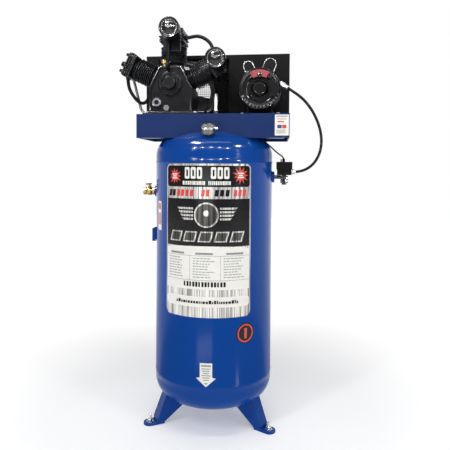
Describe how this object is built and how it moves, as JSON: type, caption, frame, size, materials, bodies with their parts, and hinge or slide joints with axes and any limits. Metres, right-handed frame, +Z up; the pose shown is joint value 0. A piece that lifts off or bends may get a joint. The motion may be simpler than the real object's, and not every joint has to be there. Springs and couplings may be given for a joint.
{
  "type": "vertical tank air compressor",
  "caption": "Two-stage belt-driven air compressor: finned pump and electric motor with belt guard on a vertical receiver tank on feet, with pressure switch and valves.",
  "frame": {"origin": "on the floor under the tank's axis, at the centre of the circle of the three anchor holes", "axes": "+Z up along the tank's axis, -Y towards the front where the labels and the gauge are, +X towards the motor and the pressure switch"},
  "size_m": [0.8925, 0.572, 1.714],
  "materials": {
    "tank_paint": "gloss",
    "guard_paint": "satin",
    "pump_casting": "satin",
    "fin_casting": "matt",
    "brass": "satin",
    "steel": "satin",
    "chrome": "polished",
    "rubber": "matt",
    "plastic": "matt",
    "red_plastic": "gloss",
    "glass": "clear"
  },
  "bodies": {
    "frame": {"tank_shell": "tank_paint", "tank_top_head": "tank_paint", "tank_bottom_head": "tank_paint", "tank_fittings": "tank_paint", "foot_front_left": "tank_paint", "foot_front_right": "tank_paint", "foot_rear": "tank_paint", "platform": "tank_paint", "guard_front": "guard_paint", "guard_back": "guard_paint", "guard_mesh": "guard_paint", "crankcase": "pump_casting", "bearing_covers": "pump_casting", "cylinder_centre": "pump_casting", "cylinder_left": "pump_casting", "cylinder_right": "pump_casting", "valve_plates": "fin_casting", "cylinder_head_centre": "pump_casting", "cylinder_head_left": "pump_casting", "cylinder_head_right": "pump_casting", "air_filter_centre": "pump_casting", "air_filter_right": "pump_casting", "sight_glass": "chrome", "oil_plugs": "brass", "motor_shell": "pump_casting", "motor_front_bell": "pump_casting", "motor_rear_bell": "pump_casting", "motor_base": "pump_casting", "motor_covers": "pump_casting", "drive_belts": "rubber", "fasteners": "steel", "hose_fittings": "steel", "intercooler_hose": "rubber", "breather_hose": "rubber", "discharge_tube": "steel", "discharge_hose": "steel", "breather_tube": "steel", "check_valve": "brass", "unloader_tube": "rubber", "switch_manifold": "brass", "pressure_switch_base": "plastic", "pressure_switch_cover": "plastic", "conduit_connectors": "steel", "conduit": "rubber", "gauge_case": "chrome", "gauge_lens": "glass", "ball_valve_body": "brass", "drain_valve_body": "brass"},
    "crank": {"crankshaft": "steel", "flywheel": "pump_casting"},
    "rotor": {"motor_rotor": "steel", "motor_pulley": "pump_casting"},
    "centre_piston": {"piston_centre": "fin_casting"},
    "left_piston": {"piston_left": "fin_casting"},
    "right_piston": {"piston_right": "fin_casting"},
    "outlet_handle": {"ball_valve_handle": "red_plastic"},
    "drain_handle": {"drain_valve_handle": "steel"},
    "lever": {"switch_lever": "plastic"},
    "pull_ring": {"safety_valve_ring": "steel"},
    "needle": {"gauge_needle": "plastic"}
  },
  "joints": [
    {"name": "crank_spin", "type": "hinge", "parent": "frame", "child": "crank", "pos_m": [-0.182, 0, 1.448], "axis": [0, 1, 0], "continuous": true},
    {"name": "motor_spin", "type": "hinge", "parent": "frame", "child": "rotor", "pos_m": [0.2, 0, 1.418], "axis": [0, 1, 0], "continuous": true},
    {"name": "centre_stroke", "type": "slide", "parent": "frame", "child": "centre_piston", "axis": [0, 0, 1], "range_m": [0, 0.048]},
    {"name": "left_stroke", "type": "slide", "parent": "frame", "child": "left_piston", "axis": [-0.9063, 0, 0.4226], "range_m": [-0.0121, 0.0358]},
    {"name": "right_stroke", "type": "slide", "parent": "frame", "child": "right_piston", "axis": [0.9063, 0, 0.4226], "range_m": [-0.0121, 0.0358]},
    {"name": "outlet_turn", "type": "hinge", "parent": "frame", "child": "outlet_handle", "pos_m": [-0.291, 0, 0.984], "axis": [0, 0, 1], "range_deg": [-90, 0]},
    {"name": "drain_turn", "type": "hinge", "parent": "frame", "child": "drain_handle", "pos_m": [0, -0.02, 0.028], "axis": [0, 1, 0], "range_deg": [0, 90]},
    {"name": "switch_turn", "type": "hinge", "parent": "frame", "child": "lever", "pos_m": [0.292, -0.034, 1.102], "axis": [0, 1, 0], "range_deg": [-30, 30]},
    {"name": "ring_pull", "type": "slide", "parent": "frame", "child": "pull_ring", "axis": [0, -1, 0], "range_m": [0, 0.004], "stiffness_N_per_m": 400},
    {"name": "needle_turn", "type": "hinge", "parent": "frame", "child": "needle", "pos_m": [0, -0.2, 1.221], "axis": [0, -0.5388, 0.8425], "range_deg": [-270, 0]}
  ],
  "couplings": [
    {"joint": "motor_spin", "follows": "crank_spin", "ratio": 2.8}
  ]
}
